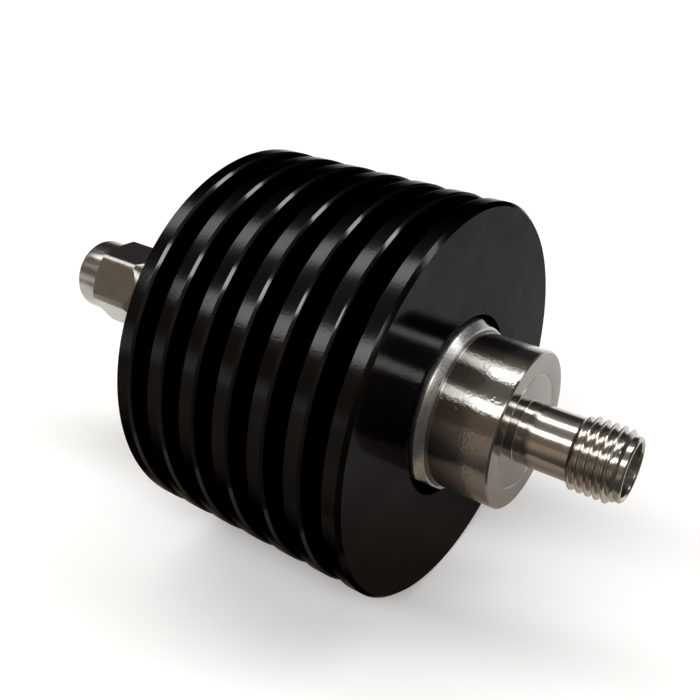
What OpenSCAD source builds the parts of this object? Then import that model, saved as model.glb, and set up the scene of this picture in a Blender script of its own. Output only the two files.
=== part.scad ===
// Coaxial fixed attenuator: a finned heat sink held on a body sleeve by a lock ring, with a threaded
// jack at one end and a plug with a captive coupling nut at the other.
// The axis lies along X and the jack faces +X. The origin is the centre of the jack's mating plane.
// All sizes are in millimetres.

/* [Heat sink] */
// Number of fins
fin_count = 7; // [3:1:12]
// Thickness of each fin behind the front one
fin_t = 1.5; // [1:0.05:2.5]
// Thickness of the front fin
front_fin_t = 1.6; // [1.2:0.05:3.5]
// Open space between two fins
fin_gap = 2.065; // [1.2:0.005:4]
// Height of the fins above the core
fin_height = 7.3; // [4:0.05:12]
// Rounding of the fins' front edges
fin_round = 0.45; // [0.1:0.05:0.5]
// Chamfer round the front face
face_chamfer = 0.35; // [0.1:0.05:0.5]
// Wall of the core outside the ring's recess
core_wall = 2.3; // [1.5:0.1:5]
// Radial clearance between the heat sink and the sleeve
sink_clear = 0.02; // [0.01:0.01:0.05]

/* [Body sleeve] */
// Bore of the sleeve, which takes both connector bases
sleeve_bore_d = 10; // [8.5:0.1:14]
// Wall of the sleeve
sleeve_wall = 1.95; // [1.2:0.05:3]
// Length of the sleeve in front of the heat sink
sleeve_front_len = 6.4; // [3:0.1:12]
// Length of the sleeve behind the heat sink, with its flange
sleeve_rear_len = 6.5; // [4.5:0.1:12]
// Height of the flange that the heat sink seats on
flange_height = 1.6; // [0.8:0.1:2.2]
// Thickness of the flange
flange_t = 2; // [1:0.1:3]
// Chamfer on the edges of the sleeve, its flange, the lock ring, the jack's rim and the plug's barrel
edge_chamfer = 0.15; // [0.05:0.05:0.4]

/* [Lock ring] */
// Height of the lock ring above the sleeve
ring_height = 0.95; // [0.6:0.05:1.6]
// Thickness of the lock ring
ring_t = 1.35; // [1:0.05:2]
// Height of the ring's front face above the heat sink's
ring_stand = 0.85; // [0.2:0.05:0.9]
// Rounding of the ring's outer front edge
ring_round = 0.5; // [0.1:0.05:0.6]
// Height of the two spanner flats above the sleeve
ring_flat_height = 0.3; // [0.15:0.05:0.5]
// Turn of the spanner flats about the axis
ring_turn = 47; // [0:1:180]
// Space round the ring in the heat sink's recess
ring_space = 0.3; // [0.1:0.05:0.5]

/* [Coaxial line] */
// Diameter of the insulators
dielectric_d = 4.1; // [3.6:0.05:4.8]
// Diameter of the centre conductors
contact_d = 1.27; // [1.15:0.01:1.6]
// Diameter of the conductors' tails inside the body
tail_d = 0.9; // [0.6:0.05:1.1]
// Radial gap left between pressed pieces
press_gap = 0.01; // [0.005:0.005:0.02]
// Length of each connector's base in the sleeve
base_len = 4; // [2.5:0.1:6]

/* [Jack] */
// Length from the sleeve's end face to the jack's rim
jack_len = 9.05; // [7.5:0.05:14]
// Depth of the mating plane below the rim
jack_depth = 1.9; // [1.5:0.05:2.3]
// Wall round the dielectric in the plain barrel
barrel_wall = 0.675; // [0.4:0.025:0.7]
// Wall of the rim in front of the thread
rim_wall = 0.45; // [0.3:0.05:0.8]
// Length of the rim in front of the thread
rim_len = 0.55; // [0.3:0.05:1]
// Depth of the outside thread
thread_depth = 0.425; // [0.35:0.005:0.6]
// Length of the outside thread
thread_len = 4; // [3:0.1:5]
// Diameter of the hole in the socket contact
socket_d = 0.95; // [0.93:0.01:1.02]
// Depth of the hole in the socket contact
socket_depth = 2.6; // [2:0.1:4]
// Width of the slots in the socket contact
slot_w = 0.16; // [0.1:0.02:0.3]

/* [Plug] */
// Length of plain barrel between the sleeve and the nut
plug_barrel_len = 6.2; // [3:0.1:10]
// Height of the plug's barrel above its neck
plug_barrel_step = 0.6; // [0.3:0.05:1]
// Wall of the nose that enters a jack
nose_wall = 0.225; // [0.15:0.025:0.35]
// Radial clearance of the nose in a jack
nose_clear = 0.025; // [0.01:0.005:0.05]
// Wall of the neck under its groove
groove_wall = 0.35; // [0.25:0.05:0.6]
// Depth of the groove in the neck
groove_depth = 0.4; // [0.3:0.05:0.5]
// Diameter of the pin's mating end
pin_d = 0.92; // [0.9:0.01:0.93]
// Length of the pin in front of the mating plane
pin_len = 2; // [1.5:0.1:2.3]
// Thickness of the gasket
gasket_t = 0.5; // [0.3:0.05:0.8]
// Radial clearance of the gasket in the nut and on the nose
gasket_clear = 0.055; // [0.02:0.005:0.1]

/* [Coupling nut] */
// Length of the nut
nut_len = 9; // [8:0.1:12]
// Length of the round collar in front of the hexagon
nut_collar_len = 2.8; // [1:0.1:4]
// Height of the hexagon's flats above the collar
nut_collar_step = 0.2; // [0.05:0.05:0.5]
// Rounding of the collar's front edge
collar_round = 0.3; // [0.1:0.05:0.5]
// Depth turned off the hexagon's corners
corner_turn = 0.15; // [0.02:0.01:0.2]
// Wall of the nut over its widest bore
nut_wall = 0.72; // [0.5:0.01:1.5]
// Depth of the nut's inside thread
nut_thread_depth = 0.345; // [0.25:0.005:0.4]
// Length of the run-out behind the nut's inside thread
relief_len = 0.6; // [0.3:0.05:1]
// Distance from the nut's front to the plug's mating plane
plug_recess = 2.5; // [2.4:0.1:3.2]
// Radial running clearance of the nut on the neck
nut_clear = 0.06; // [0.03:0.01:0.1]
// Space between the nut and the barrel behind it
nut_play = 0.35; // [0.2:0.05:0.6]
// Thickness of the snap ring that holds the nut
snap_t = 0.5; // [0.3:0.05:0.7]
// Height of the snap ring above the neck
snap_height = 0.35; // [0.2:0.05:0.45]
// Radial space round the snap ring and at its sides in the nut
snap_space = 0.1; // [0.05:0.01:0.15]
// Distance from the nut's rear to its groove
snap_inset = 1.7; // [1:0.1:2.4]

/* [Attenuator element] */
// Length of the chip
chip_len = 22; // [12:0.5:24]
// Width of the chip
chip_w = 4.2; // [3.4:0.1:5]
// Thickness of the chip
chip_t = 0.6; // [0.3:0.05:1]
// Width of the channel along the carriers
channel_w = 3; // [2:0.1:3.2]
// Height of the channel above the chip
channel_top = 1.9; // [1.7:0.1:2.6]
// Depth of the channel under the chip
channel_floor = 1.2; // [0.5:0.1:1.8]
// Clearance round the chip and at the carriers' ends
chip_clear = 0.05; // [0.02:0.01:0.1]
// Width of the ribbon tabs
tab_w = 1.2; // [0.8:0.1:1.8]
// Length of the ribbon tabs
tab_len = 1.6; // [1:0.1:2.4]
// Thickness of the ribbon tabs
tab_t = 0.1; // [0.05:0.01:0.15]

/* [Hidden] */
$fn = 96;

// Colours
anodised_black = [0.13, 0.13, 0.13];
nickel = [0.68, 0.65, 0.60];
bright_steel = [0.78, 0.78, 0.78];
gold = [0.83, 0.68, 0.35];
white_plastic = [0.94, 0.94, 0.92];
silicone_red = [0.72, 0.30, 0.24];
alumina = [0.90, 0.89, 0.85];
silver_plate = [0.80, 0.80, 0.79];

// Radii of the coaxial line and its connectors
dielectric_r = dielectric_d / 2;
contact_r = contact_d / 2;
shell_bore_r = dielectric_r + press_gap;
nose_r = dielectric_r + nose_wall;
jack_bore_r = nose_r + nose_clear;
rim_r = jack_bore_r + rim_wall;
thread_r = rim_r + thread_depth;
barrel_r = dielectric_r + barrel_wall;
groove_r = dielectric_r + groove_wall;
neck_r = groove_r + groove_depth;
plug_barrel_r = neck_r + plug_barrel_step;

// Radii of the sleeve, the lock ring and the heat sink
sleeve_bore_r = sleeve_bore_d / 2;
base_r = sleeve_bore_r - press_gap;
sleeve_r = sleeve_bore_r + sleeve_wall;
flange_r = sleeve_r + flange_height;
ring_r = sleeve_r + ring_height;
recess_r = ring_r + ring_space;
core_r = recess_r + core_wall;
fin_r = core_r + fin_height;
sink_bore_r = sleeve_r + sink_clear;

// Radii of the nut and its snap ring
snap_inner_r = groove_r + snap_space;
snap_outer_r = neck_r + snap_height;
nut_groove_r = snap_outer_r + snap_space;
nut_bore_r = neck_r + nut_clear;
nut_minor_r = thread_r - nut_thread_depth;
nut_relief_r = thread_r + nut_clear;
nut_flat_r = max(nut_groove_r, nut_relief_r) + nut_wall;
nut_collar_r = nut_flat_r - nut_collar_step;
nut_corner_r = nut_flat_r / cos(30);
nut_turned_r = nut_corner_r - corner_turn;
hex_chamfer_angle = 30;

// Places along the axis, from the jack's rim back to the nut's front
jack_rim_x = jack_depth;
thread_front_x = jack_rim_x - rim_len;
thread_rear_x = thread_front_x - thread_len;
sleeve_front_x = jack_rim_x - jack_len;
jack_base_x = sleeve_front_x - base_len;
fin_pitch = fin_t + fin_gap;
sink_front_x = sleeve_front_x - sleeve_front_len;
sink_rear_x = sink_front_x - front_fin_t - (fin_count - 1) * fin_pitch;
sleeve_rear_x = sink_rear_x - sleeve_rear_len;
plug_base_x = sleeve_rear_x + base_len;
plug_barrel_x = sleeve_rear_x - plug_barrel_len;
nut_rear_x = plug_barrel_x - nut_play;
nut_front_x = nut_rear_x - nut_len;
hex_front_x = nut_front_x + nut_collar_len;
plug_plane_x = nut_front_x + plug_recess;
gasket_x = plug_plane_x + jack_depth;
shoulder_x = gasket_x + gasket_t;
nut_groove_x = nut_rear_x - snap_inset;
snap_x = nut_groove_x - snap_space - snap_t;
relief_rear_x = shoulder_x + relief_len;

// Lock ring: its front stands above the heat sink's face and its back seats on the recess floor
ring_front_x = sink_front_x + ring_stand;
ring_rear_x = ring_front_x - ring_t;

// Places of the attenuator element
cavity_mid_x = (jack_base_x + plug_base_x) / 2;
carrier_len = jack_base_x - plug_base_x - 2 * chip_clear;
chip_top_z = -tail_d / 2 - tab_t - press_gap;
chip_front_x = cavity_mid_x + chip_len / 2;
chip_rear_x = cavity_mid_x - chip_len / 2;
tab_inset = 0.2;
tail_shoulder = 0.3;
tip_len = 0.5;
tip_r = 0.2;
lead_in = 0.2;
cut_extra = 1;

// Points of an arc about (r, x), for a turned outline
function arc(r, x, radius, from, to, steps = 5) =
    [for (i = [0 : steps])
        let (a = from + (to - from) * i / steps)
        [r + radius * cos(a), x + radius * sin(a)]];

// Solid turned about the X axis from points of [radius, place along the axis]
module turned(points) {
    rotate([0, 90, 0])
        rotate_extrude()
            polygon(points);
}

// Plain rod along X
module rod(x0, x1, r) {
    translate([x0, 0, 0])
        rotate([0, 90, 0])
            cylinder(r = r, h = x1 - x0);
}

// Plain tube along X
module sleeve_tube(x0, x1, outer, inner) {
    turned([[inner, x0], [outer, x0], [outer, x1], [inner, x1]]);
}

// Box along X, centred on Y
module bar(x0, x1, width, z0, z1) {
    translate([x0, -width / 2, z0])
        cube([x1 - x0, width, z1 - z0]);
}

// Outline of one fin, from its rear face to its front face
function fin_outline(i) =
    let (rear = sink_front_x - front_fin_t - i * fin_pitch)
    let (front = rear + (i == 0 ? front_fin_t : fin_t))
    let (round = min(fin_round, fin_t * 0.45))
    let (rim = i == 0
        ? [[fin_r, front - face_chamfer], [fin_r - face_chamfer, front]]
        : arc(fin_r - round, front - round, round, 0, 90))
    concat([[core_r, rear], [fin_r, rear]], rim, [[core_r, front]]);

module heat_sink() {
    fins = [for (i = [fin_count - 1 : -1 : 0]) each fin_outline(i)];
    recess = [[recess_r, sink_front_x], [recess_r, ring_rear_x], [sink_bore_r, ring_rear_x]];
    color(anodised_black)
        turned(concat([[sink_bore_r, sink_rear_x]], fins, recess));
}

module body_sleeve() {
    flange_rear_x = sink_rear_x - flange_t;
    color(nickel)
        turned([
            [sleeve_bore_r, sleeve_front_x],
            [sleeve_r - edge_chamfer, sleeve_front_x],
            [sleeve_r, sleeve_front_x - edge_chamfer],
            [sleeve_r, sink_rear_x],
            [flange_r - edge_chamfer, sink_rear_x],
            [flange_r, sink_rear_x - edge_chamfer],
            [flange_r, flange_rear_x + edge_chamfer],
            [flange_r - edge_chamfer, flange_rear_x],
            [sleeve_r, flange_rear_x],
            [sleeve_r, sleeve_rear_x + edge_chamfer],
            [sleeve_r - edge_chamfer, sleeve_rear_x],
            [sleeve_bore_r, sleeve_rear_x]
        ]);
}

module sink_lock_ring() {
    inner_r = sleeve_r + press_gap;
    flats = 2 * (sleeve_r + ring_flat_height);
    color(bright_steel)
        intersection() {
            turned(concat(
                [[inner_r, ring_rear_x], [ring_r, ring_rear_x]],
                arc(ring_r - ring_round, ring_front_x - ring_round, ring_round, 0, 90),
                [[inner_r + edge_chamfer, ring_front_x], [inner_r, ring_front_x - edge_chamfer]]
            ));
            rotate([ring_turn, 0, 0])
                bar(ring_rear_x, ring_front_x, flats, -ring_r, ring_r);
        }
}

module jack_shell() {
    color(nickel)
        turned([
            [shell_bore_r, jack_base_x],
            [base_r, jack_base_x],
            [base_r, sleeve_front_x],
            [barrel_r, sleeve_front_x],
            [barrel_r, thread_rear_x],
            [rim_r, thread_rear_x],
            [thread_r, thread_rear_x + thread_depth],
            [thread_r, thread_front_x - thread_depth],
            [rim_r, thread_front_x],
            [rim_r, jack_rim_x - edge_chamfer],
            [rim_r - edge_chamfer, jack_rim_x],
            [jack_bore_r + edge_chamfer, jack_rim_x],
            [jack_bore_r, jack_rim_x - edge_chamfer],
            [jack_bore_r, 0],
            [shell_bore_r, 0]
        ]);
}

module jack_insulator() {
    color(white_plastic)
        sleeve_tube(jack_base_x, 0, dielectric_r, contact_r + press_gap);
}

module jack_contact() {
    socket_r = socket_d / 2;
    slot_depth = socket_depth - lead_in;
    color(gold)
        difference() {
            union() {
                rod(jack_base_x - tail_shoulder, 0, contact_r);
                rod(chip_front_x - tab_inset - tab_len, jack_base_x - tail_shoulder, tail_d / 2);
            }
            rod(-socket_depth, cut_extra, socket_r);
            for (turn = [45, 135])
                rotate([turn, 0, 0])
                    bar(-slot_depth, cut_extra, slot_w, -contact_d, contact_d);
        }
}

module plug_shell() {
    groove_front_x = snap_x - snap_space / 2;
    groove_rear_x = snap_x + snap_t + snap_space / 2;
    color(nickel)
        turned([
            [shell_bore_r, plug_plane_x],
            [nose_r - nose_wall / 2, plug_plane_x],
            [nose_r, plug_plane_x + nose_wall / 2],
            [nose_r, shoulder_x],
            [neck_r, shoulder_x],
            [neck_r, groove_front_x],
            [groove_r, groove_front_x],
            [groove_r, groove_rear_x],
            [neck_r, groove_rear_x],
            [neck_r, plug_barrel_x],
            [plug_barrel_r - edge_chamfer, plug_barrel_x],
            [plug_barrel_r, plug_barrel_x + edge_chamfer],
            [plug_barrel_r, sleeve_rear_x],
            [base_r, sleeve_rear_x],
            [base_r, plug_base_x],
            [shell_bore_r, plug_base_x]
        ]);
}

module plug_insulator() {
    color(white_plastic)
        sleeve_tube(plug_plane_x, plug_base_x, dielectric_r, contact_r + press_gap);
}

module plug_pin() {
    tip_x = plug_plane_x - pin_len;
    tail_x = plug_base_x + tail_shoulder;
    end_x = chip_rear_x + tab_inset + tab_len;
    color(gold)
        turned([
            [0, tip_x],
            [tip_r, tip_x],
            [pin_d / 2, tip_x + tip_len],
            [pin_d / 2, plug_plane_x],
            [contact_r, plug_plane_x],
            [contact_r, tail_x],
            [tail_d / 2, tail_x],
            [tail_d / 2, end_x],
            [0, end_x]
        ]);
}

module plug_gasket() {
    color(silicone_red)
        sleeve_tube(gasket_x, shoulder_x, nut_minor_r - gasket_clear, nose_r + gasket_clear);
}

// Space inside the nut: thread with a lead-in, run-out, plain bore and the snap ring's groove
module nut_hollow() {
    groove_front_x = nut_groove_x - snap_t - 2 * snap_space;
    turned([
        [0, nut_front_x - cut_extra],
        [nut_relief_r, nut_front_x - cut_extra],
        [nut_relief_r, nut_front_x],
        [nut_minor_r, nut_front_x + nut_thread_depth],
        [nut_minor_r, shoulder_x],
        [nut_relief_r, shoulder_x],
        [nut_relief_r, relief_rear_x],
        [nut_bore_r, relief_rear_x],
        [nut_bore_r, groove_front_x],
        [nut_groove_r, groove_front_x],
        [nut_groove_r, nut_groove_x],
        [nut_bore_r, nut_groove_x],
        [nut_bore_r, nut_rear_x + cut_extra],
        [0, nut_rear_x + cut_extra]
    ]);
}

// Turned outside of the nut: the round collar, the hexagon's chamfers and its trimmed corners
module nut_turning() {
    chamfer_depth = nut_turned_r - nut_collar_r;
    front_len = chamfer_depth * tan(hex_chamfer_angle);
    rear_len = chamfer_depth / tan(hex_chamfer_angle);
    turned(concat(
        [[0, nut_front_x]],
        arc(nut_collar_r - collar_round, nut_front_x + collar_round, collar_round, -90, 0),
        [
            [nut_collar_r, hex_front_x],
            [nut_turned_r, hex_front_x + front_len],
            [nut_turned_r, nut_rear_x - rear_len],
            [nut_collar_r, nut_rear_x],
            [0, nut_rear_x]
        ]
    ));
}

// Hexagonal bar that the nut is turned from, with corners on the Y axis
module nut_bar() {
    translate([nut_front_x - cut_extra, 0, 0])
        rotate([0, 90, 0])
            rotate([0, 0, 30])
                cylinder(r = nut_corner_r, h = nut_len + 2 * cut_extra, $fn = 6);
}

module coupling_nut() {
    color(nickel)
        difference() {
            intersection() {
                nut_bar();
                nut_turning();
            }
            nut_hollow();
        }
}

module nut_snap_ring() {
    snap_gap_angle = 30;
    color(bright_steel)
        translate([snap_x, 0, 0])
            rotate([0, 90, 0])
                rotate([0, 0, snap_gap_angle / 2])
                    rotate_extrude(angle = 360 - snap_gap_angle)
                        translate([snap_inner_r, 0])
                            square([snap_outer_r - snap_inner_r, snap_t]);
}

module attenuator_chip() {
    color(alumina)
        bar(chip_rear_x, chip_front_x, chip_w, chip_top_z - chip_t, chip_top_z);
}

// Round bar that fills the sleeve between the two connector bases
module carrier_blank() {
    rod(cavity_mid_x - carrier_len / 2, cavity_mid_x + carrier_len / 2, base_r);
}

module carrier_upper() {
    color(silver_plate)
        intersection() {
            carrier_blank();
            difference() {
                bar(plug_base_x, jack_base_x, sleeve_bore_d, chip_top_z, sleeve_bore_d);
                bar(plug_base_x, jack_base_x, channel_w, chip_top_z - cut_extra, chip_top_z + channel_top);
            }
        }
}

module carrier_lower() {
    chip_floor_z = chip_top_z - chip_t;
    color(silver_plate)
        intersection() {
            carrier_blank();
            difference() {
                bar(plug_base_x, jack_base_x, sleeve_bore_d, -sleeve_bore_d, chip_top_z);
                bar(chip_rear_x - chip_clear, chip_front_x + chip_clear, chip_w + 2 * chip_clear,
                    chip_floor_z, chip_top_z + cut_extra);
                bar(plug_base_x, jack_base_x, channel_w, chip_floor_z - channel_floor, chip_top_z + cut_extra);
            }
        }
}

module jack_tab() {
    color(gold)
        bar(chip_front_x - tab_inset - tab_len, chip_front_x - tab_inset, tab_w, chip_top_z, chip_top_z + tab_t);
}

module plug_tab() {
    color(gold)
        bar(chip_rear_x + tab_inset, chip_rear_x + tab_inset + tab_len, tab_w, chip_top_z, chip_top_z + tab_t);
}

heat_sink();
body_sleeve();
sink_lock_ring();
jack_shell();
jack_insulator();
jack_contact();
plug_shell();
plug_insulator();
plug_pin();
plug_gasket();
coupling_nut();
nut_snap_ring();
attenuator_chip();
carrier_upper();
carrier_lower();
jack_tab();
plug_tab();
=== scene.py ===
"""Looks of a coaxial attenuator: finned heat sink, plated sleeve, threaded jack and captive hexagonal nut.

Sizes are in millimetres, with the part's axis along X, and become metres when a mesh is made.
"""

import math

import bmesh
import bpy
from mathutils import Matrix, Vector


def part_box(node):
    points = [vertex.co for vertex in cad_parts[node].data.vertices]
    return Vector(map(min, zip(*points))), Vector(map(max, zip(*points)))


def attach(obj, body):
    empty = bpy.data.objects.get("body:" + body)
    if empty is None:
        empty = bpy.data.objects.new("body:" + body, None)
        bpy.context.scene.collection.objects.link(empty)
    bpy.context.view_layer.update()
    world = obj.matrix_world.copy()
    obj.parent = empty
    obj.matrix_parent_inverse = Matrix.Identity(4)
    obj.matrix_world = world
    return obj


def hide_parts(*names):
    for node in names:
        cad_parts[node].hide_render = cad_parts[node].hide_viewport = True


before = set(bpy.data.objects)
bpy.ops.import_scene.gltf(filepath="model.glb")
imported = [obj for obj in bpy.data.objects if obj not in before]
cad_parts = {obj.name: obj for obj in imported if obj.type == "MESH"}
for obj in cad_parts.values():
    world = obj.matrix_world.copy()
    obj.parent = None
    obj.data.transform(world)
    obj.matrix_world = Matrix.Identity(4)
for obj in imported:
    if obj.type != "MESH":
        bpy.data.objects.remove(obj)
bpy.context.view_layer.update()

MM = 0.001
FULL_TURN = 2 * math.pi

# Broken edges: fillets from the finest to the widest, the fillet at a foot, a lead and a chamfer
FINE, SMALL, SOFT, WIDE, FOOT, LEAD, EDGE = 0.03, 0.04, 0.05, 0.08, 0.2, 0.1, 0.15

# A face is square to the axis when its normal's part along X is over FLAT; NEAR is a very small distance
FLAT, NEAR = 0.95, 0.01

# Steps in the arc of a fillet
ARC_STEPS = 4

# Heat sink
SINK_FRONT, SINK_REAR = -13.55, -36.54
SINK_BORE_R, RECESS_R, CORE_R, FIN_R = 6.97, 8.2, 10.5, 17.8
FIN_COUNT, FIN_T, FRONT_FIN_T, FIN_PITCH = 7, 1.5, 1.6, 3.565
FIN_CHAMFER, FACE_CHAMFER, FIN_BREAK = 0.21, 0.35, 0.07

# Body sleeve and lock ring
SLEEVE_FRONT, SLEEVE_REAR = -7.15, -43.04
SLEEVE_R, SLEEVE_BORE_R = 6.95, 5.0
FLANGE_R, FLANGE_REAR = 8.55, -38.54
RING_FRONT, RING_REAR = -12.70, -14.05
RING_BORE_R, RING_R, RING_FLAT_R, RING_CONE = 6.96, 7.9, 7.25, 0.6
RING_TURN = math.radians(47)

# Jack
JACK_RIM, JACK_BASE = 1.9, -11.15
BASE_R, BARREL_R, RIM_R, THREAD_R = 4.99, 2.725, 2.75, 3.175
LINE_R, JACK_BORE_R = 2.06, 2.3
THREAD_FRONT, THREAD_REAR = 1.35, -2.65
THREAD_PITCH = 25.4 / 36

# Plug and nut
PLUG_BARREL_R, PLUG_BARREL_END = 3.4, -49.24
NECK_R, NECK_GROOVE_R = 2.8, 2.4
NECK_GROOVE = (-51.94, -51.34)
NOSE_R, NOSE_END, NOSE_LEAD, SHOULDER = 2.275, -56.09, 0.11, -53.69
PLUG_BASE = -39.04
NUT_REAR, NUT_FRONT, HEX_FRONT = -49.59, -58.59, -55.79
NUT_FLAT_R, NUT_COLLAR_R, NUT_CORNER_R = 3.97, 3.77, 4.434
NUT_BORE_R, NUT_GROOVE_R, NUT_MINOR_R, NUT_MAJOR_R = 2.86, 3.25, 2.83, 3.235
NUT_GROOVE = (-51.99, -51.29)
NUT_RELIEF = -53.09
COLLAR_ROUND, NUT_CHAMFER = 0.3, math.radians(30)

# Contacts and insulators
DIELECTRIC_R, CONTACT_R, CONTACT_HOLE_R = 2.05, 0.635, 0.645
PIN_R, PIN_TIP_R, PIN_TIP, PIN_TAPER = 0.46, 0.2, -58.09, 0.5
TAIL_R, TAIL_SHOULDER = 0.45, 0.3


# Meshes

def at(x, r, angle):
    """Point at a place along the axis, a radius and an angle from +Y towards +Z."""
    return Vector((x * MM, r * MM * math.cos(angle), r * MM * math.sin(angle)))


def rounded(corners, closed=True):
    """Outline through corners of (x, r) or (x, r, fillet), with each fillet drawn as an arc."""
    points = []
    count = len(corners)
    for i, corner in enumerate(corners):
        here = Vector(corner[:2])
        fillet = corner[2] if len(corner) > 2 else 0
        if not fillet or (not closed and i in (0, count - 1)):
            points.append(tuple(here))
            continue
        back = (Vector(corners[i - 1][:2]) - here).normalized()
        ahead = (Vector(corners[(i + 1) % count][:2]) - here).normalized()
        half = back.angle(ahead) / 2
        centre = here + (back + ahead).normalized() * (fillet / math.sin(half))
        start = here + back * (fillet / math.tan(half)) - centre
        end = here + ahead * (fillet / math.tan(half)) - centre
        first = math.atan2(start.y, start.x)
        sweep = math.remainder(math.atan2(end.y, end.x) - first, FULL_TURN)
        for k in range(ARC_STEPS + 1):
            a = first + sweep * k / ARC_STEPS
            points.append((centre.x + fillet * math.cos(a), centre.y + fillet * math.sin(a)))
    return points


def even_angles(count):
    """Angles of a full turn."""
    return [FULL_TURN * k / count for k in range(count)]


def skin(bm, outline_at, angles, closed=True):
    """Surface round the axis through the outline at each angle; all outlines have as many points."""
    columns = [[bm.verts.new(at(x, r, a)) for x, r in outline_at(a)] for a in angles]
    rows = len(columns[0])
    for k, column in enumerate(columns):
        beside = columns[(k + 1) % len(columns)]
        for i in range(rows if closed else rows - 1):
            j = (i + 1) % rows
            bm.faces.new((column[i], column[j], beside[j], beside[i]))


def lathe(bm, outline, count, closed=True):
    """Surface turned about the axis from one outline."""
    skin(bm, lambda angle: outline, even_angles(count), closed)


# One pitch of a 60 degree thread as (share of the pitch, share of the depth), from crest to crest
THREAD_FORM = [
    (0.015, 1.0), (0.110, 1.0), (0.150, 0.93), (0.300, 0.50), (0.450, 0.07),
    (0.490, 0.0), (0.635, 0.0), (0.675, 0.07), (0.825, 0.50), (0.975, 0.93),
]


def thread(bm, x0, x1, base_r, crest_r, angles):
    """Right-hand thread between two rings of base_r, with its ends run out at 45 degrees.

    Turns beyond an end lie flat on that end's ring, where equal points are merged later.
    """
    depth = abs(crest_r - base_r)
    side = 1 if crest_r > base_r else -1
    spare, beyond = 2, 9.0
    turns = math.ceil((x1 - x0) / THREAD_PITCH) + spare
    rows = [(t + u, h) for t in range(-spare, turns) for u, h in THREAD_FORM]
    rows = [(-beyond, 0.0)] + rows + [(turns + beyond, 0.0)]
    columns = []
    for angle in angles + [angles[0] + FULL_TURN]:
        column = []
        for place, height in rows:
            x = min(max(x0 + (place + angle / FULL_TURN) * THREAD_PITCH, x0), x1)
            lift = min(height * depth, x - x0, x1 - x)
            column.append(bm.verts.new(at(x, base_r + side * lift, angle)))
        columns.append(column)
    for left, right in zip(columns, columns[1:]):
        for i in range(len(rows) - 1):
            bm.faces.new((left[i], left[i + 1], right[i + 1], right[i]))


def piece(name, bm, node, body, materials, paint=None):
    """Object from a mesh, riding on a body in the place of a node. paint picks a material for a face."""
    same_place, no_length, sharp = 2e-7, 1e-7, math.radians(32)
    bmesh.ops.remove_doubles(bm, verts=bm.verts, dist=same_place)
    bmesh.ops.dissolve_degenerate(bm, edges=bm.edges, dist=no_length)
    bmesh.ops.recalc_face_normals(bm, faces=bm.faces)
    bm.normal_update()
    for edge in bm.edges:
        edge.smooth = edge.calc_face_angle(0) < sharp
    for face in bm.faces:
        face.smooth = True
        if paint:
            face.material_index = paint(face.calc_center_median() / MM, face.normal)
    mesh = bpy.data.meshes.new(name)
    bm.to_mesh(mesh)
    bm.free()
    for material in materials:
        mesh.materials.append(material)
    obj = bpy.data.objects.new(name, mesh)
    bpy.context.scene.collection.objects.link(obj)
    weighted = obj.modifiers.new("flat faces", "WEIGHTED_NORMAL")
    weighted.keep_sharp = True
    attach(obj, body)
    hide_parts(node)


# Materials

def add(tree, kind, inputs=None, **settings):
    """New shader node; an input's value is a constant or another node's output."""
    made = tree.nodes.new(kind)
    for key, value in settings.items():
        setattr(made, key, value)
    for key, value in (inputs or {}).items():
        if isinstance(value, bpy.types.NodeSocket):
            tree.links.new(value, made.inputs[key])
        else:
            made.inputs[key].default_value = value
    return made


def principled(name, roughness, metallic=0.0, **sockets):
    """Material with a principled shader; returns the material, its tree and the shader."""
    material = bpy.data.materials.new(name)
    material.use_nodes = True
    tree = material.node_tree
    shader = tree.nodes["Principled BSDF"]
    shader.inputs["Metallic"].default_value = metallic
    shader.inputs["Roughness"].default_value = roughness
    for key, value in sockets.items():
        shader.inputs[key.replace("_", " ")].default_value = value
    return material, tree, shader


def object_place(tree):
    """Coordinates that stay with the piece."""
    return add(tree, "ShaderNodeTexCoord").outputs["Object"]


def turning_place(tree, place):
    """Place along a turned outline: the distance along the axis plus the radius."""
    split = add(tree, "ShaderNodeSeparateXYZ", {"Vector": place})
    across = add(tree, "ShaderNodeCombineXYZ", {"Y": split.outputs["Y"], "Z": split.outputs["Z"]})
    radius = add(tree, "ShaderNodeVectorMath", {0: across.outputs["Vector"]}, operation="LENGTH")
    total = add(tree, "ShaderNodeMath", {0: split.outputs["X"], 1: radius.outputs["Value"]})
    return total.outputs["Value"]


def noise(tree, place, size_mm, detail=2.0):
    """Noise with features of about size_mm, from 0 to 1."""
    inputs = {"Vector": place, "Scale": 1 / (size_mm * MM), "Detail": detail, "Roughness": 0.5}
    return add(tree, "ShaderNodeTexNoise", inputs).outputs["Fac"]


def lines(tree, along, size_mm):
    """Noise in one direction, for the marks of a turning tool."""
    inputs = {"W": along, "Scale": 1 / (size_mm * MM), "Detail": 3.0, "Roughness": 0.6}
    return add(tree, "ShaderNodeTexNoise", inputs, noise_dimensions="1D").outputs["Fac"]


def between(tree, value, low, high, source=(0.3, 0.7)):
    """Value mapped from the source range to another range."""
    inputs = {"Value": value, "From Min": source[0], "From Max": source[1], "To Min": low, "To Max": high}
    return add(tree, "ShaderNodeMapRange", inputs).outputs["Result"]


# Places of the colour sockets on a Mix node
MIX_FACTOR, MIX_FIRST, MIX_SECOND, MIX_RESULT = 0, 6, 7, 2


def mixed(tree, factor, first, second):
    """Colour from a first, which may be a node's output, to a second by a factor from 0 to 1."""
    if not isinstance(first, bpy.types.NodeSocket):
        first = (*first, 1)
    inputs = {MIX_FACTOR: factor, MIX_FIRST: first, MIX_SECOND: (*second, 1)}
    return add(tree, "ShaderNodeMix", inputs, data_type="RGBA").outputs[MIX_RESULT]


def tint(tree, value, dark, light):
    """Colour between two colours by a value from about 0.3 to 0.7."""
    return mixed(tree, between(tree, value, 0.0, 1.0), dark, light)


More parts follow.
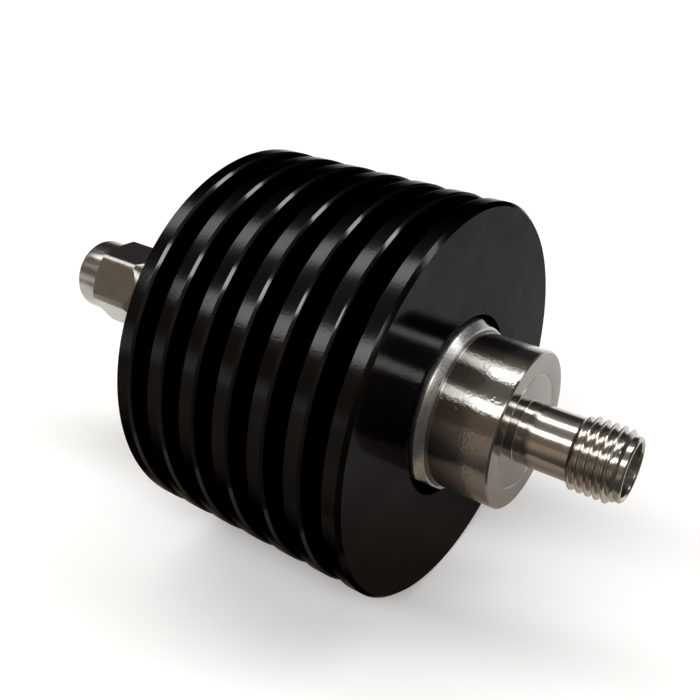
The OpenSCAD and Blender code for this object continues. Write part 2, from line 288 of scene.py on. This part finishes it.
def bump(tree, height, depth_mm, under=None):
    """Normal that follows a height, on top of another bump."""
    inputs = {"Height": height, "Distance": depth_mm * MM, "Strength": 1.0}
    if under:
        inputs["Normal"] = under
    return add(tree, "ShaderNodeBump", inputs).outputs["Normal"]


def wire(tree, shader, colour=None, roughness=None, normal=None):
    """Links that feed the shader."""
    for key, value in (("Base Color", colour), ("Roughness", roughness), ("Normal", normal)):
        if value:
            tree.links.new(value, shader.inputs[key])


# Tones of the black dye and of the nickel plate
DYE, PLATE = (0.97, 0.985, 1.0), (1.0, 0.955, 0.885)

# A turned surface's tool marks lean this far towards the jack, under a top layer
TOOL_LEAN, TOP_ROUGHNESS, TOP_IOR = 0.10, 0.12, 2.5


def toned(shade, tone):
    """Colour of a shade in a tone."""
    return [shade * part for part in tone]


def anodised(name, shade, rough, line_depth, grain_depth, glance=0.5):
    """Black anodised aluminium with fine turning lines and the dye's faint unevenness.

    glance is how much of a mirror it is at a shallow angle.
    """
    line_mm, grain_mm, cloud_mm = 0.11, 0.20, 3.0
    material, tree, shader = principled(name, rough, 1.0, Specular_Tint=(glance, glance, glance, 1))
    place = object_place(tree)
    marks = lines(tree, turning_place(tree, place), line_mm)
    grain = noise(tree, place, grain_mm)
    cloud = noise(tree, place, cloud_mm, 3)
    dark, light = toned(shade * 0.88, DYE), toned(shade * 1.14, DYE)
    normal = bump(tree, grain, grain_depth, bump(tree, marks, line_depth))
    rough = between(tree, cloud, rough * 0.9, rough * 1.12)
    wire(tree, shader, tint(tree, cloud, dark, light), rough, normal)
    return material


def pits(tree, place):
    """Height with small round pits in some of its cells."""
    cell_mm = 0.5
    cells = add(tree, "ShaderNodeTexVoronoi", {"Vector": place, "Scale": 1 / (cell_mm * MM)})
    bowl = between(tree, cells.outputs["Distance"], 0.0, 1.0, (0.05, 0.22))
    pick = add(tree, "ShaderNodeSeparateColor", {"Color": cells.outputs["Color"]}).outputs["Red"]
    plain = between(tree, pick, 0.0, 1.0, (0.35, 0.55))
    height = add(tree, "ShaderNodeMath", {0: bowl, 1: plain}, operation="MAXIMUM")
    return height.outputs["Value"]


def nickel(name, shade, rough, line_depth, grain_mm, grain_depth, pit_depth=0.0, turned=False):
    """Nickel plate on brass, with fine lines, grain and pits.

    A turned surface stretches highlights along the axis: its tool marks lean towards the jack, under a
    brighter, smoother top layer.
    """
    line_mm, cloud_mm, quarter_turn = 0.10, 1.6, 0.25
    amount = 1.0 if turned else 0.0
    material, tree, shader = principled(
        name, rough, 1.0, Anisotropic=amount, Anisotropic_Rotation=quarter_turn,
        Coat_Weight=amount, Coat_Roughness=TOP_ROUGHNESS, Coat_IOR=TOP_IOR,
    )
    tangent = add(tree, "ShaderNodeTangent", direction_type="RADIAL", axis="X")
    tree.links.new(tangent.outputs["Tangent"], shader.inputs["Tangent"])
    place = object_place(tree)
    marks = lines(tree, turning_place(tree, place), line_mm)
    grain = noise(tree, place, grain_mm)
    cloud = noise(tree, place, cloud_mm, 3)
    dark, light = toned(shade * 0.96, PLATE), toned(shade * 1.08, PLATE)
    normal = bump(tree, marks, line_depth)
    normal = bump(tree, grain, grain_depth, normal)
    if pit_depth:
        normal = bump(tree, pits(tree, place), pit_depth, normal)
    if turned:
        top = bump(tree, pits(tree, place), pit_depth, bump(tree, grain, grain_depth))
        tree.links.new(top, shader.inputs["Coat Normal"])
        lean = add(tree, "ShaderNodeVectorMath", {0: normal, 1: (TOOL_LEAN, 0, 0)})
        normal = add(tree, "ShaderNodeVectorMath", {0: lean.outputs[0]}, operation="NORMALIZE").outputs[0]
    rough = between(tree, grain, rough * 0.85, rough * 1.2)
    wire(tree, shader, tint(tree, cloud, dark, light), rough, normal)
    return material


def plain_metal(name, dark, light, rough, grain_depth):
    """Bright metal with a fine grain and turning lines."""
    grain_mm, line_mm, cloud_mm = 0.12, 0.06, 0.8
    material, tree, shader = principled(name, rough, 1.0)
    place = object_place(tree)
    grain = noise(tree, place, grain_mm, 3)
    marks = lines(tree, turning_place(tree, place), line_mm)
    colour = tint(tree, noise(tree, place, cloud_mm, 3), dark, light)
    normal = bump(tree, grain, grain_depth, bump(tree, marks, grain_depth))
    wire(tree, shader, colour, between(tree, grain, rough * 0.8, rough * 1.25), normal)
    return material


def soft_solid(name, dark, light, rough, grain_mm, grain_depth, scatter=0.0):
    """Insulator, rubber or ceramic: a mottled colour under a fine grain."""
    material, tree, shader = principled(name, rough)
    shader.inputs["Subsurface Weight"].default_value = scatter
    shader.inputs["Subsurface Scale"].default_value = 0.4 * MM
    place = object_place(tree)
    grain = noise(tree, place, grain_mm, 4)
    colour = tint(tree, noise(tree, place, grain_mm * 6, 3), dark, light)
    rough = between(tree, grain, rough * 0.85, rough * 1.15)
    wire(tree, shader, colour, rough, bump(tree, grain, grain_depth))
    return material


BLACK_FIN = anodised("black_anodised_fin", 0.026, 0.15, 0.0003, 0.005, 0.3)
# darkest copy of the dye, for the fin sides and the core: painted shade between the fins
BLACK_SIDE_PAINTED_SHADE = anodised("black_anodised_side_painted_shade", 0.009, 0.30, 0.002, 0.002, 0.2)
BLACK_FACE = anodised("black_anodised_face", 0.038, 0.10, 0.00003, 0.00004)
# paler copy of the dye, for the fins' slanted front edges: worn edges, and a painted highlight that
# brightens the glints there
BLACK_EDGE = anodised("black_anodised_edge", 0.062, 0.10, 0.00003, 0.0006)
NICKEL_SLEEVE = nickel("nickel_sleeve", 0.25, 0.21, 0.001, 0.25, 0.011, 0.008, turned=True)
# darker copy of the nickel, for faces square to the axis: painted shade
NICKEL_FACE_PAINTED_SHADE = nickel("nickel_end_face_painted_shade", 0.255, 0.14, 0.00015, 0.24, 0.0003)
NICKEL_SMALL = nickel("nickel_connector", 0.54, 0.16, 0.0002, 0.34, 0.0022)
NICKEL_NUT = nickel("nickel_nut", 0.33, 0.21, 0.0003, 0.30, 0.0012)
# darker copy of the nut's nickel, for its corners and chamfers: painted shade that dims their highlights
NICKEL_EDGE_PAINTED_SHADE = nickel("nickel_nut_edge_painted_shade", 0.21, 0.24, 0.0003, 0.30, 0.0012)
STEEL = plain_metal("bright_steel", (0.46, 0.46, 0.44), (0.62, 0.62, 0.60), 0.30, 0.0006)
GOLD = plain_metal("gold_plate", (0.80, 0.58, 0.24), (0.90, 0.68, 0.32), 0.18, 0.0003)
SILVER = plain_metal("silver_plate", (0.72, 0.71, 0.68), (0.80, 0.79, 0.77), 0.22, 0.0004)
PTFE = soft_solid("white_insulator", (0.78, 0.78, 0.76), (0.86, 0.86, 0.84), 0.42, 0.08, 0.0008, 0.2)
RUBBER = soft_solid("silicone", (0.34, 0.07, 0.045), (0.42, 0.10, 0.065), 0.55, 0.06, 0.0012)
CERAMIC = soft_solid("alumina", (0.74, 0.73, 0.69), (0.82, 0.81, 0.77), 0.5, 0.05, 0.0008)


# Pieces on the body

def fin_corners(index):
    """Corners of one fin from its rear foot to its front foot; index 0 is the front fin."""
    rear = SINK_FRONT - FRONT_FIN_T - index * FIN_PITCH
    front = rear + (FIN_T if index else FRONT_FIN_T)
    rear_foot = [(rear, CORE_R, FOOT)] if index < FIN_COUNT - 1 else []
    cut = FIN_CHAMFER if index else FACE_CHAMFER
    rim = [(rear, FIN_R, FIN_BREAK), (front - cut, FIN_R, FINE), (front, FIN_R - cut, FINE)]
    return rear_foot + rim + ([(front, CORE_R, FOOT)] if index else [])


def make_heat_sink():
    """Finned heat sink, with the lock ring's recess in its front face."""
    corners = [(SINK_REAR, SINK_BORE_R, LEAD)]
    for index in reversed(range(FIN_COUNT)):
        corners += fin_corners(index)
    corners += [(SINK_FRONT, RECESS_R, SOFT), (RING_REAR, RECESS_R), (RING_REAR, SINK_BORE_R)]
    bm = bmesh.new()
    lathe(bm, rounded(corners), count=224)

    rim, face, edge, side = range(4)
    rim_depth, slanted = 0.5, 0.3

    def paint(centre, normal):
        if centre.x > SINK_FRONT - FRONT_FIN_T:
            return face if normal.x > FLAT and centre.x > SINK_FRONT - NEAR else rim
        # fin sides and the core between the fins take the darkest dye: painted shade in the gaps
        if centre.yz.length < FIN_R - rim_depth or abs(normal.x) > FLAT:
            return side
        # slanted front edges take the paler dye: worn edges and a painted highlight
        return edge if slanted < normal.x < FLAT else rim

    materials = [BLACK_FIN, BLACK_FACE, BLACK_EDGE, BLACK_SIDE_PAINTED_SHADE]
    piece("heat_sink_turned", bm, "heat_sink", "body", materials, paint=paint)


def make_sleeve():
    """Plated sleeve with its rear flange; the broken bore edge draws the seam round the jack's base."""
    corners = [
        (SLEEVE_FRONT, SLEEVE_BORE_R, WIDE), (SLEEVE_FRONT, SLEEVE_R - EDGE, SOFT),
        (SLEEVE_FRONT - EDGE, SLEEVE_R, SOFT), (SINK_REAR, SLEEVE_R),
        (SINK_REAR, FLANGE_R - EDGE, SMALL), (SINK_REAR - EDGE, FLANGE_R, SMALL),
        (FLANGE_REAR + EDGE, FLANGE_R, SMALL), (FLANGE_REAR, FLANGE_R - EDGE, SMALL),
        (FLANGE_REAR, SLEEVE_R, EDGE), (SLEEVE_REAR + EDGE, SLEEVE_R, SOFT),
        (SLEEVE_REAR, SLEEVE_R - EDGE, SOFT), (SLEEVE_REAR, SLEEVE_BORE_R, WIDE),
    ]
    bm = bmesh.new()
    lathe(bm, rounded(corners), count=192)

    def paint(centre, normal):
        # faces square to the axis take the darker nickel: painted shade
        return 1 if abs(normal.x) > FLAT else 0

    materials = [NICKEL_SLEEVE, NICKEL_FACE_PAINTED_SHADE]
    piece("sleeve_turned", bm, "body_sleeve", "body", materials, paint=paint)


def make_lock_ring():
    """Ring nut with a conical front edge and two spanner flats."""
    blunt = 0.12
    cone = [(RING_FRONT - RING_CONE, RING_R, blunt), (RING_FRONT, RING_R - RING_CONE, blunt)]
    front = rounded([(RING_REAR, RING_R)] + cone + [(RING_FRONT, RING_BORE_R)], closed=False)[1:-1]

    def outline(angle):
        facing = abs(math.cos(angle - RING_TURN))
        outer = min(RING_R, RING_FLAT_R / max(facing, NEAR))
        return (
            [(RING_REAR, RING_BORE_R), (RING_REAR, outer)] + [(x, min(r, outer)) for x, r in front]
            + [(RING_FRONT, RING_BORE_R + EDGE), (RING_FRONT - EDGE, RING_BORE_R)]
        )

    bm = bmesh.new()
    skin(bm, outline, even_angles(288))
    piece("lock_ring_turned", bm, "sink_lock_ring", "body", [STEEL])


def make_jack():
    """Jack shell with its outside thread."""
    count = 144
    corners = [
        (THREAD_REAR, RIM_R), (THREAD_REAR, BARREL_R), (SLEEVE_FRONT, BARREL_R, WIDE),
        (SLEEVE_FRONT, BASE_R, WIDE), (JACK_BASE, BASE_R, SOFT), (JACK_BASE, LINE_R),
        (0, LINE_R), (0, JACK_BORE_R), (JACK_RIM - EDGE, JACK_BORE_R, SOFT),
        (JACK_RIM, JACK_BORE_R + EDGE, FINE), (JACK_RIM, RIM_R - EDGE, FINE),
        (JACK_RIM - EDGE, RIM_R, SOFT), (THREAD_FRONT, RIM_R),
    ]
    bm = bmesh.new()
    lathe(bm, rounded(corners, closed=False), count, closed=False)
    thread(bm, THREAD_REAR, THREAD_FRONT, RIM_R, THREAD_R, even_angles(count))

    def paint(centre, normal):
        # the jack's base face takes the darker nickel: painted shade
        return 1 if normal.x > FLAT and centre.x < SLEEVE_FRONT + 2 * NEAR else 0

    piece("jack_turned", bm, "jack_shell", "body", [NICKEL_SMALL, NICKEL_FACE_PAINTED_SHADE], paint=paint)


def make_plug():
    """Plug shell: base, barrel, grooved neck and nose."""
    corners = [
        (NOSE_END, LINE_R), (NOSE_END, NOSE_R - NOSE_LEAD, FINE), (NOSE_END + NOSE_LEAD, NOSE_R, FINE),
        (SHOULDER, NOSE_R), (SHOULDER, NECK_R, SOFT), (NECK_GROOVE[0], NECK_R),
        (NECK_GROOVE[0], NECK_GROOVE_R), (NECK_GROOVE[1], NECK_GROOVE_R), (NECK_GROOVE[1], NECK_R),
        (PLUG_BARREL_END, NECK_R), (PLUG_BARREL_END, PLUG_BARREL_R - EDGE, SMALL),
        (PLUG_BARREL_END + EDGE, PLUG_BARREL_R, SMALL), (SLEEVE_REAR, PLUG_BARREL_R, WIDE),
        (SLEEVE_REAR, BASE_R, SOFT), (PLUG_BASE, BASE_R), (PLUG_BASE, LINE_R),
    ]
    bm = bmesh.new()
    lathe(bm, rounded(corners), count=128)
    piece("plug_turned", bm, "plug_shell", "body", [NICKEL_SMALL])


def make_plug_pin():
    """Centre pin of the plug."""
    tail_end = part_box("plug_pin")[1].x / MM
    tail_x = PLUG_BASE + TAIL_SHOULDER
    corners = [
        (PIN_TIP, 0), (PIN_TIP, PIN_TIP_R, WIDE), (PIN_TIP + PIN_TAPER, PIN_R, FOOT), (NOSE_END, PIN_R),
        (NOSE_END, CONTACT_R), (tail_x, CONTACT_R, SOFT), (tail_x, TAIL_R), (tail_end, TAIL_R, SOFT),
        (tail_end, 0),
    ]
    bm = bmesh.new()
    lathe(bm, rounded(corners, closed=False), count=64, closed=False)
    piece("plug_pin_turned", bm, "plug_pin", "body", [GOLD])


def make_insulators():
    """White insulators of the jack and the plug."""
    for side, x0, x1 in (("jack", JACK_BASE, 0.0), ("plug", NOSE_END, PLUG_BASE)):
        corners = [
            (x0, CONTACT_HOLE_R), (x0, DIELECTRIC_R, SMALL), (x1, DIELECTRIC_R, SMALL), (x1, CONTACT_HOLE_R),
        ]
        bm = bmesh.new()
        lathe(bm, rounded(corners), count=96)
        piece(f"{side}_insulator_turned", bm, f"{side}_insulator", "body", [PTFE])


# The nut

def hex_angles():
    """Angles round the hexagon, with one at each edge of its turned corners."""
    edge = math.acos(NUT_FLAT_R / NUT_CORNER_R)
    inside = [edge * s for s in (-1, -0.96, -0.8, -0.6, -0.4, -0.2, 0, 0.2, 0.4, 0.6, 0.8, 0.96)]
    corner = [edge, (edge + math.pi / 6) / 2, math.pi / 6, math.pi / 3 - (edge + math.pi / 6) / 2]
    return [math.pi / 6 + k * math.pi / 3 + a for k in range(6) for a in inside + corner]


def make_nut():
    """Coupling nut: hexagon with turned corners and chamfers, round collar, inside thread and groove."""
    slope, soft, slanted = math.tan(NUT_CHAMFER), 0.03, 0.2
    inside = [
        (NUT_RELIEF, NUT_MAJOR_R), (NUT_RELIEF, NUT_BORE_R), (NUT_GROOVE[0], NUT_BORE_R),
        (NUT_GROOVE[0], NUT_GROOVE_R), (NUT_GROOVE[1], NUT_GROOVE_R), (NUT_GROOVE[1], NUT_BORE_R),
        (NUT_REAR - LEAD, NUT_BORE_R), (NUT_REAR, NUT_BORE_R + LEAD),
    ]
    collar = rounded(
        [(HEX_FRONT, NUT_COLLAR_R), (NUT_FRONT, NUT_COLLAR_R, COLLAR_ROUND), (NUT_FRONT, NUT_MAJOR_R)],
        closed=False,
    )

    def outline(angle):
        off = math.remainder(angle - math.pi / 6, math.pi / 3)
        outer = min(NUT_FLAT_R / math.cos(off), NUT_CORNER_R)
        reach, rear_reach = (outer - NUT_COLLAR_R) * slope, (outer - NUT_COLLAR_R) / slope
        hexagon = [
            (NUT_REAR, NUT_COLLAR_R - 2 * NEAR), (NUT_REAR - NEAR, NUT_COLLAR_R),
            (NUT_REAR - rear_reach + soft, outer - soft * 0.5), (NUT_REAR - rear_reach - soft, outer),
            (HEX_FRONT + reach + soft, outer), (HEX_FRONT + reach - soft * 0.5, outer - soft),
        ]
        return [(SHOULDER, NUT_MAJOR_R)] + inside + hexagon + collar

    bm = bmesh.new()
    angles = hex_angles()
    skin(bm, outline, angles, closed=False)
    thread(bm, NUT_FRONT, SHOULDER, NUT_MAJOR_R, NUT_MINOR_R, angles)

    def paint(centre, normal):
        radius = centre.yz.length
        corner = radius > NUT_CORNER_R - NEAR
        chamfer = radius > NUT_COLLAR_R + NEAR and abs(normal.x) > slanted
        # corners and chamfers take the darker nickel: painted shade that dims their highlights
        return 1 if corner or chamfer else 0

    materials = [NICKEL_NUT, NICKEL_EDGE_PAINTED_SHADE]
    piece("coupling_nut_turned", bm, "coupling_nut", "nut", materials, paint=paint)


make_heat_sink()
make_sleeve()
make_lock_ring()
make_jack()
make_plug()
make_plug_pin()
make_insulators()
make_nut()

NODE_MATERIALS = {
    "jack_contact": GOLD, "plug_gasket": RUBBER, "nut_snap_ring": STEEL, "attenuator_chip": CERAMIC,
    "carrier_upper": SILVER, "carrier_lower": SILVER, "jack_tab": GOLD, "plug_tab": GOLD,
}
for name, material in NODE_MATERIALS.items():
    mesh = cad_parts[name].data
    mesh.materials.clear()
    mesh.materials.append(material)


# Set

FLOOR_SIZE, FLOOR_GLOW = 6, 0.18
FLOOR_DARK, FLOOR_LIGHT = (0.83, 0.83, 0.825), (0.85, 0.85, 0.845)

# Sheets of painted reflection lie round a place in front of the part, by distances out towards the camera
# and along
SHEET_START, SHEET_OUT, SHEET_ALONG = Vector((-12.0, -18.7)), Vector((0.571, -0.821)), Vector((0.821, 0.571))
SHEET_END = 260
# Colours of the painted reflections: brown and tan are painted shade near the part, dark and pale the
# colours further off
BROWN, TAN = (0.30, 0.228, 0.172), (0.37, 0.295, 0.24)
DARK, PALE = (0.04, 0.037, 0.034), (0.84, 0.84, 0.835)

STRIP_Z, STRIP_RADIANCE = 1.2, 5.4

ROOM_BEHIND, ROOM_FRONT = (0.035, 0.033, 0.034), (0.20, 0.153, 0.110)
ROOM_TOP, ROOM_HORIZON = (0.22, 0.20, 0.17), (0.85, 0.85, 0.84)

CAMERA_LENS, CAMERA_SENSOR = 44.725, 36
CAMERA_PLACE = Vector((14.365, -56.203, 42.874))
CAMERA_AHEAD, CAMERA_UP = Vector((-0.49198, 0.70192, -0.51503)), Vector((-0.29806, 0.42002, 0.85717))


def make_floor():
    """Pale floor under the fins, white to the camera and in reflections."""
    bpy.ops.mesh.primitive_plane_add(size=FLOOR_SIZE, location=(0, 0, -(FIN_R + NEAR) * MM))
    floor = bpy.context.object
    floor.name = "floor"
    material = bpy.data.materials.new("floor_paper")
    material.use_nodes = True
    tree = material.node_tree
    tree.nodes.clear()
    place = object_place(tree)
    colour = tint(tree, noise(tree, place, 60), FLOOR_DARK, FLOOR_LIGHT)
    diffuse = add(tree, "ShaderNodeBsdfDiffuse", {"Color": colour})
    path = add(tree, "ShaderNodeLightPath").outputs
    seen = add(tree, "ShaderNodeMath", {0: path["Is Camera Ray"], 1: path["Is Glossy Ray"]})
    seen = add(tree, "ShaderNodeMath", {0: seen.outputs[0], 1: path["Is Transmission Ray"]}, use_clamp=True)
    lift = add(tree, "ShaderNodeMath", {0: seen.outputs[0], 1: FLOOR_GLOW}, operation="MULTIPLY")
    glow = add(tree, "ShaderNodeEmission", {"Strength": lift.outputs[0]})
    both = add(tree, "ShaderNodeAddShader", {0: diffuse.outputs[0], 1: glow.outputs[0]})
    add(tree, "ShaderNodeOutputMaterial", {"Surface": both.outputs[0]})
    floor.data.materials.append(material)


def make_reflection_sheet(name, rows, sides, near_colour, far_colour, way, span):
    """Sheet that only reflections show, a painted reflection of shade and dark surroundings, from one colour
    to another along a direction.

    rows are distances out and heights, and sides distances along, in millimetres; span is in metres.
    """
    corners = []
    for reach, height in rows:
        for side in sides:
            spot = SHEET_START + SHEET_OUT * reach + SHEET_ALONG * side
            corners.append((spot.x * MM, spot.y * MM, height * MM))
    mesh = bpy.data.meshes.new(name)
    mesh.from_pydata(corners, [], [(0, 1, 3, 2)])
    sheet = bpy.data.objects.new(name, mesh)
    bpy.context.scene.collection.objects.link(sheet)
    material, tree, shader = principled(name, 0.9)
    place = object_place(tree)
    # painted reflection: the near colour is painted shade, fading to the far colour along the way
    mottled = tint(tree, noise(tree, place, 25), toned(0.9, near_colour), toned(1.1, near_colour))
    gone = add(tree, "ShaderNodeVectorMath", {0: place, 1: way}, operation="DOT_PRODUCT").outputs["Value"]
    wire(tree, shader, mixed(tree, between(tree, gone, 0.0, 1.0, span), mottled, far_colour))
    mesh.materials.append(material)
    sheet.visible_camera = sheet.visible_diffuse = sheet.visible_shadow = False


def set_painted_reflections():
    """Painted reflections of shade and dark surroundings: a sheet in front of the part, dark on the jack's
    side, one under it as a painted shadow, pale behind, and one beside it.
    """
    low, join = -FIN_R - NEAR / 2, -22
    along, away = (*SHEET_ALONG, 0), (0.57, 0.82, 0)
    front, under, beside = ((4, low), (154, 45)), ((-90, low), (4, low)), ((-33, low), (4, low))
    make_reflection_sheet("painted_reflection_front", front, (-SHEET_END, SHEET_END), BROWN, DARK, along, (-0.0525, -0.0275))
    # painted shadow under the part, seen only in reflections: tan near it, pale further off
    make_reflection_sheet("painted_shadow_under", under, (join, SHEET_END), TAN, PALE, away, (-0.0090, 0.0360))
    make_reflection_sheet("painted_reflection_beside", beside, (-SHEET_END, join), BROWN, BROWN, along, (-0.2, 0.2))


def make_strip(name, start, end, width):
    """Long soft strip lamp between two points at one height, given in metres, that faces the part."""
    start, end = Vector((*start, STRIP_Z)), Vector((*end, STRIP_Z))
    light = bpy.data.lights.new(name, "AREA")
    light.shape = "RECTANGLE"
    light.size = (end - start).length
    light.size_y = width
    light.energy = STRIP_RADIANCE * math.pi * light.size * light.size_y
    lamp = bpy.data.objects.new(name, light)
    bpy.context.scene.collection.objects.link(lamp)
    side = (end - start).normalized()
    middle = (start + end) / 2
    away = (middle - side * middle.dot(side)).normalized()
    turn = Matrix((side, away.cross(side), away)).transposed()
    lamp.matrix_world = Matrix.Translation(middle) @ turn.to_4x4()
    lamp.visible_camera = False


def make_world():
    """Dim room: warm grey towards the camera's side, dark behind, pale along the horizon."""
    world = bpy.data.worlds.new("room")
    bpy.context.scene.world = world
    world.use_nodes = True
    tree = world.node_tree
    tree.nodes.clear()
    way = add(tree, "ShaderNodeTexCoord").outputs["Generated"]
    split = add(tree, "ShaderNodeSeparateXYZ", {"Vector": way}).outputs
    front = between(tree, split["Y"], 0.7, 0.3, (-0.45, 0.25))
    room = tint(tree, front, ROOM_BEHIND, ROOM_FRONT)
    top = between(tree, split["Z"], 0.3, 0.7, (0.6, 0.85))
    room = mixed(tree, between(tree, top, 0.0, 1.0), room, ROOM_TOP)
    room = mixed(tree, between(tree, split["Z"], 1.0, 0.0, (0.07, 0.2)), room, ROOM_HORIZON)
    back = add(tree, "ShaderNodeBackground", {"Color": room, "Strength": 1.0})
    add(tree, "ShaderNodeOutputWorld", {"Surface": back.outputs[0]})


def make_camera():
    """Camera at the photograph's viewing angle."""
    data = bpy.data.cameras.new("camera")
    data.sensor_width = CAMERA_SENSOR
    data.lens = CAMERA_LENS
    data.clip_start, data.clip_end = 0.001, 20
    camera = bpy.data.objects.new("camera", data)
    bpy.context.scene.collection.objects.link(camera)
    turn = Matrix((CAMERA_AHEAD.cross(CAMERA_UP), CAMERA_UP, -CAMERA_AHEAD)).transposed()
    camera.matrix_world = Matrix.Translation(CAMERA_PLACE * MM) @ turn.to_4x4()
    bpy.context.scene.camera = camera


make_floor()
set_painted_reflections()
make_strip("strip_overhead", (-1.6, -0.25), (2.0, 1.078), 0.30)
make_strip("strip_front", (-1.6, -1.32), (1.95, -0.515), 0.36)
make_world()
make_camera()
bpy.context.scene.view_settings.view_transform = "Standard"
